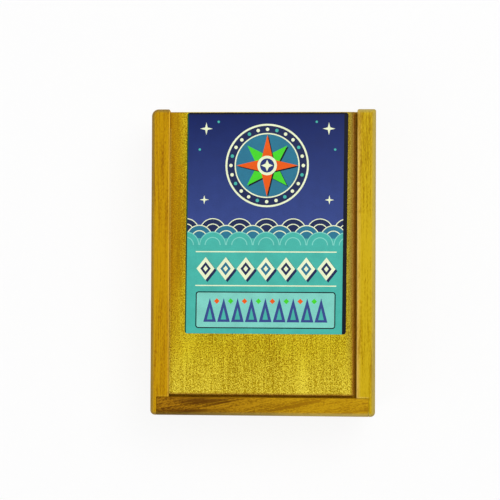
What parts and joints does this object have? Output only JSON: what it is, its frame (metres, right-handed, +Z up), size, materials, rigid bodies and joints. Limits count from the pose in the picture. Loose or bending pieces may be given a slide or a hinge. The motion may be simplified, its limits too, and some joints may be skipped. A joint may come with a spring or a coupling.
{
  "type": "marble game box",
  "caption": "Small wooden game box with a sliding lid in grooves, a printed label, and glass marbles with a shooter and a folded rules leaflet inside.",
  "frame": {"origin": "middle of the box's footprint, on the surface it stands on", "axes": "+Z up, out of the lid's face; +Y along the box, the way the lid slides out; +X across the box"},
  "size_m": [0.0916, 0.125, 0.0379],
  "materials": {
    "side_wood": "golden stained softwood under satin varnish, grain along the box",
    "end_wood": "browner stained softwood under satin varnish, grain across the box",
    "panel_wood": "thin unvarnished plywood",
    "lid_wood": "yellow-olive stained board under satin varnish, grain along the box",
    "label_print": "navy and teal printed paper with a slight gloss",
    "leaflet_paper": "uncoated off-white paper, printed with a plain game diagram",
    "marble_glass": "clear glass with twisted coloured vanes inside"
  },
  "bodies": {
    "box": {"left_side_wall": "side_wood", "right_side_wall": "side_wood", "closed_end_wall": "end_wood", "open_end_wall": "end_wood", "base_panel": "panel_wood"},
    "lid": {"sliding_lid": "lid_wood", "lid_label": "label_print"},
    "leaflet": {"rules_leaflet": "leaflet_paper"},
    "shooter": {"shooter_marble": "marble_glass"},
    "marble_01": {"marble_01": "marble_glass"},
    "marble_02": {"marble_02": "marble_glass"},
    "marble_03": {"marble_03": "marble_glass"},
    "marble_04": {"marble_04": "marble_glass"},
    "marble_05": {"marble_05": "marble_glass"},
    "marble_06": {"marble_06": "marble_glass"},
    "marble_07": {"marble_07": "marble_glass"},
    "marble_08": {"marble_08": "marble_glass"},
    "marble_09": {"marble_09": "marble_glass"},
    "marble_10": {"marble_10": "marble_glass"},
    "marble_11": {"marble_11": "marble_glass"},
    "marble_12": {"marble_12": "marble_glass"},
    "marble_13": {"marble_13": "marble_glass"},
    "marble_14": {"marble_14": "marble_glass"},
    "marble_15": {"marble_15": "marble_glass"},
    "marble_16": {"marble_16": "marble_glass"},
    "marble_17": {"marble_17": "marble_glass"},
    "marble_18": {"marble_18": "marble_glass"},
    "marble_19": {"marble_19": "marble_glass"},
    "marble_20": {"marble_20": "marble_glass"}
  },
  "joints": [
    {"name": "lid_slide", "type": "slide", "parent": "box", "child": "lid", "axis": [0, 1, 0], "range_m": [0, 0.121]},
    {"name": "leaflet_shift", "type": "slide", "parent": "box", "child": "leaflet", "axis": [0, 1, 0], "range_m": [-0.00385, 0.00385]},
    {"name": "shooter_travel", "type": "slide", "parent": "box", "child": "shooter", "axis": [0, 1, 0], "range_m": [-0.00564, 0.00894]},
    {"name": "marble_01_travel", "type": "slide", "parent": "box", "child": "marble_01", "axis": [0, 1, 0], "range_m": [-0.00154, 0.00228]},
    {"name": "marble_02_travel", "type": "slide", "parent": "box", "child": "marble_02", "axis": [0, 1, 0], "range_m": [-0.0002, 0.00283]},
    {"name": "marble_03_travel", "type": "slide", "parent": "box", "child": "marble_03", "axis": [0, 1, 0], "range_m": [-0.00228, 0.00082]},
    {"name": "marble_04_travel", "type": "slide", "parent": "box", "child": "marble_04", "axis": [0, 1, 0], "range_m": [-0.00283, 0.00263]},
    {"name": "marble_05_travel", "type": "slide", "parent": "box", "child": "marble_05", "axis": [0, 1, 0], "range_m": [-0.00894, 0.00294]},
    {"name": "marble_06_travel", "type": "slide", "parent": "box", "child": "marble_06", "axis": [0, 1, 0], "range_m": [-0.01038, 0.00066]},
    {"name": "marble_07_travel", "type": "slide", "parent": "box", "child": "marble_07", "axis": [0, 1, 0], "range_m": [-0.00082, 0.00363]},
    {"name": "marble_08_travel", "type": "slide", "parent": "box", "child": "marble_08", "axis": [0, 1, 0], "range_m": [-0.00263, 0.00154]},
    {"name": "marble_09_travel", "type": "slide", "parent": "box", "child": "marble_09", "axis": [0, 1, 0], "range_m": [-0.00294, 0.00174]},
    {"name": "marble_10_travel", "type": "slide", "parent": "box", "child": "marble_10", "axis": [0, 1, 0], "range_m": [-0.00066, 0.00355]},
    {"name": "marble_11_travel", "type": "slide", "parent": "box", "child": "marble_11", "axis": [0, 1, 0], "range_m": [-0.00363, 0.00059]},
    {"name": "marble_12_travel", "type": "slide", "parent": "box", "child": "marble_12", "axis": [0, 1, 0], "range_m": [-0.00154, 0.00311]},
    {"name": "marble_13_travel", "type": "slide", "parent": "box", "child": "marble_13", "axis": [0, 1, 0], "range_m": [-0.00174, 0.00243]},
    {"name": "marble_14_travel", "type": "slide", "parent": "box", "child": "marble_14", "axis": [0, 1, 0], "range_m": [-0.00355, 0.00096]},
    {"name": "marble_15_travel", "type": "slide", "parent": "box", "child": "marble_15", "axis": [0, 1, 0], "range_m": [-0.00059, 0.00374]},
    {"name": "marble_16_travel", "type": "slide", "parent": "box", "child": "marble_16", "axis": [0, 1, 0], "range_m": [-0.00311, 0.00106]},
    {"name": "marble_17_travel", "type": "slide", "parent": "box", "child": "marble_17", "axis": [0, 1, 0], "range_m": [-0.00243, 0.00096]},
    {"name": "marble_18_travel", "type": "slide", "parent": "box", "child": "marble_18", "axis": [0, 1, 0], "range_m": [-0.00096, 0.00156]},
    {"name": "marble_19_travel", "type": "slide", "parent": "box", "child": "marble_19", "axis": [0, 1, 0], "range_m": [-0.00374, 0.0002]},
    {"name": "marble_20_travel", "type": "slide", "parent": "box", "child": "marble_20", "axis": [0, 1, 0], "range_m": [-0.00106, 0.00161]}
  ]
}
